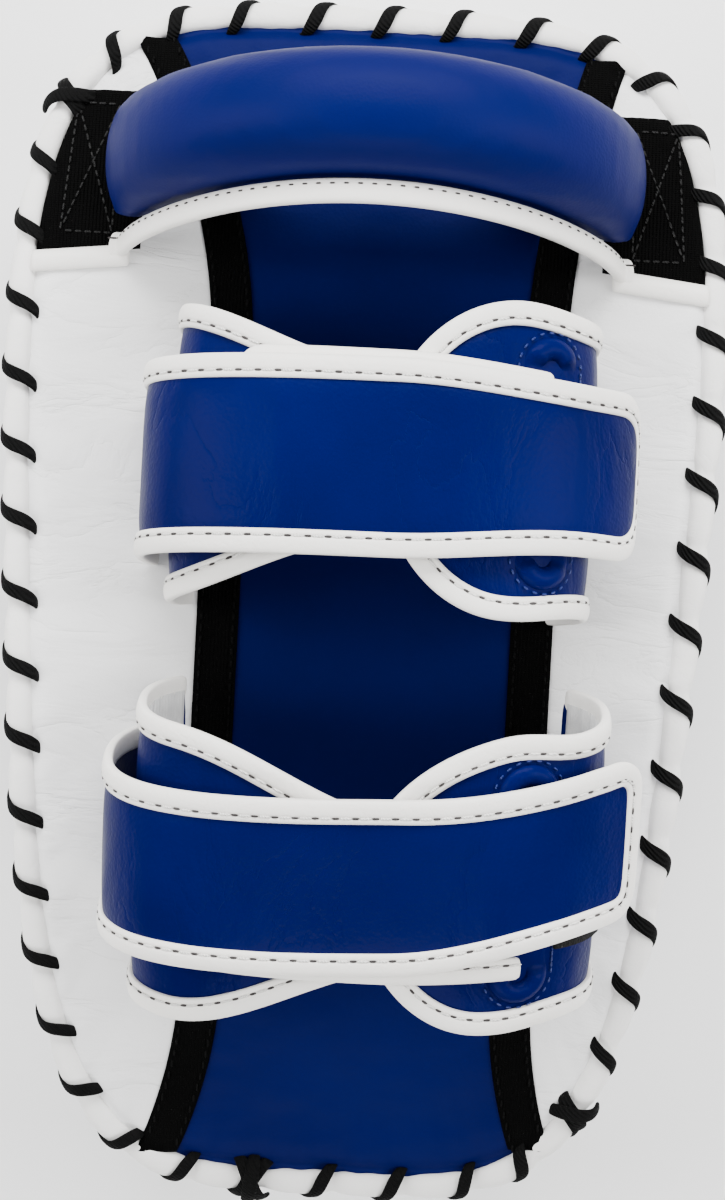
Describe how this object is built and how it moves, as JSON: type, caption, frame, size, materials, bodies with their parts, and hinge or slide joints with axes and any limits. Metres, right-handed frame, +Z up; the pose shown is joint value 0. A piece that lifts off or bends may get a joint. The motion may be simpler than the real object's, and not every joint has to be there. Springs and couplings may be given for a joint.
{
  "type": "kick shield",
  "caption": "Curved rectangular striking pad with a laced edge, a padded hand guard over a grip and wrap-over forearm straps on its back.",
  "frame": {"origin": "Middle of the underside: the pad lies on its strike face, which touches the surface along both ends", "axes": "+X is the pad's width, +Y its length towards the hand guard, +Z is up, out of the back with the straps"},
  "size_m": [0.2262, 0.3812, 0.1962],
  "materials": {
    "white_leather": "satin, softly wrinkled",
    "white_binding": "satin, folded over a soft edge",
    "blue_panel_leather": "smooth satin",
    "blue_strap_leather": "polished, lightly creased",
    "black_leather": "satin",
    "webbing": "ribbed weave",
    "lace": "flat braid",
    "hook_and_loop": "fuzzy",
    "foam": "closed-cell foam"
  },
  "bodies": {
    "shield": {"strike_cover": "blue_panel_leather", "side_wall": "white_leather", "strike_foam": "foam", "core_foam": "foam", "back_foam": "foam", "back_panel_left": "white_leather", "back_panel_right": "white_leather", "centre_panel": "blue_panel_leather", "tape_left": "webbing", "tape_right": "webbing", "edge_rim": "white_leather", "lacing": "lace", "guard_cover": "blue_panel_leather", "guard_foam": "foam", "guard_piping": "white_binding", "guard_tab_left": "webbing", "guard_tab_right": "webbing", "guard_tab_binding_left": "white_binding", "guard_tab_binding_right": "white_binding", "grip_strap": "webbing", "grip_roll": "black_leather", "upper_cuff": "blue_strap_leather", "upper_cuff_binding": "white_binding", "upper_cuff_loop": "hook_and_loop", "upper_pull_strap": "blue_strap_leather", "upper_slot_cuff": "blue_strap_leather", "upper_slot_cuff_binding": "white_binding", "upper_slot_ring": "blue_strap_leather", "upper_slot_cuff_loop": "hook_and_loop", "upper_flap_base": "blue_strap_leather", "upper_flap_base_binding": "white_binding", "lower_cuff": "blue_strap_leather", "lower_cuff_binding": "white_binding", "lower_cuff_loop": "hook_and_loop", "lower_pull_strap": "blue_strap_leather", "lower_slot_cuff": "blue_strap_leather", "lower_slot_cuff_binding": "white_binding", "lower_slot_ring": "blue_strap_leather", "lower_slot_cuff_loop": "hook_and_loop", "lower_flap_base": "blue_strap_leather", "lower_flap_base_binding": "white_binding"},
    "upper_tongue": {"upper_tongue": "blue_strap_leather", "upper_tongue_binding": "white_binding", "upper_tongue_hook": "hook_and_loop"},
    "upper_flap": {"upper_flap": "blue_strap_leather", "upper_flap_binding": "white_binding", "upper_flap_hook": "hook_and_loop"},
    "lower_tongue": {"lower_tongue": "blue_strap_leather", "lower_tongue_binding": "white_binding", "lower_tongue_hook": "hook_and_loop"},
    "lower_flap": {"lower_flap": "blue_strap_leather", "lower_flap_binding": "white_binding", "lower_flap_hook": "hook_and_loop"}
  },
  "joints": [
    {"name": "upper_flap_open", "type": "hinge", "parent": "shield", "child": "upper_flap", "pos_m": [-0.05766, 0.04349, 0.17486], "axis": [0, -0.9978, 0.0667], "range_deg": [0, 160]},
    {"name": "upper_tongue_peel", "type": "hinge", "parent": "shield", "child": "upper_tongue", "pos_m": [0.0549, 0.04369, 0.17785], "axis": [0, 0.9978, -0.0667], "range_deg": [0, 32]},
    {"name": "lower_flap_open", "type": "hinge", "parent": "shield", "child": "lower_flap", "pos_m": [-0.06283, -0.08416, 0.17026], "axis": [0, -0.9627, -0.2706], "range_deg": [0, 160]},
    {"name": "lower_tongue_peel", "type": "hinge", "parent": "shield", "child": "lower_tongue", "pos_m": [0.0548, -0.08574, 0.17585], "axis": [0, 0.9627, 0.2706], "range_deg": [0, 32]}
  ],
  "couplings": [
    {"joint": "upper_tongue_peel", "follows": "upper_flap_open", "ratio": 0.2},
    {"joint": "lower_tongue_peel", "follows": "lower_flap_open", "ratio": 0.2}
  ]
}
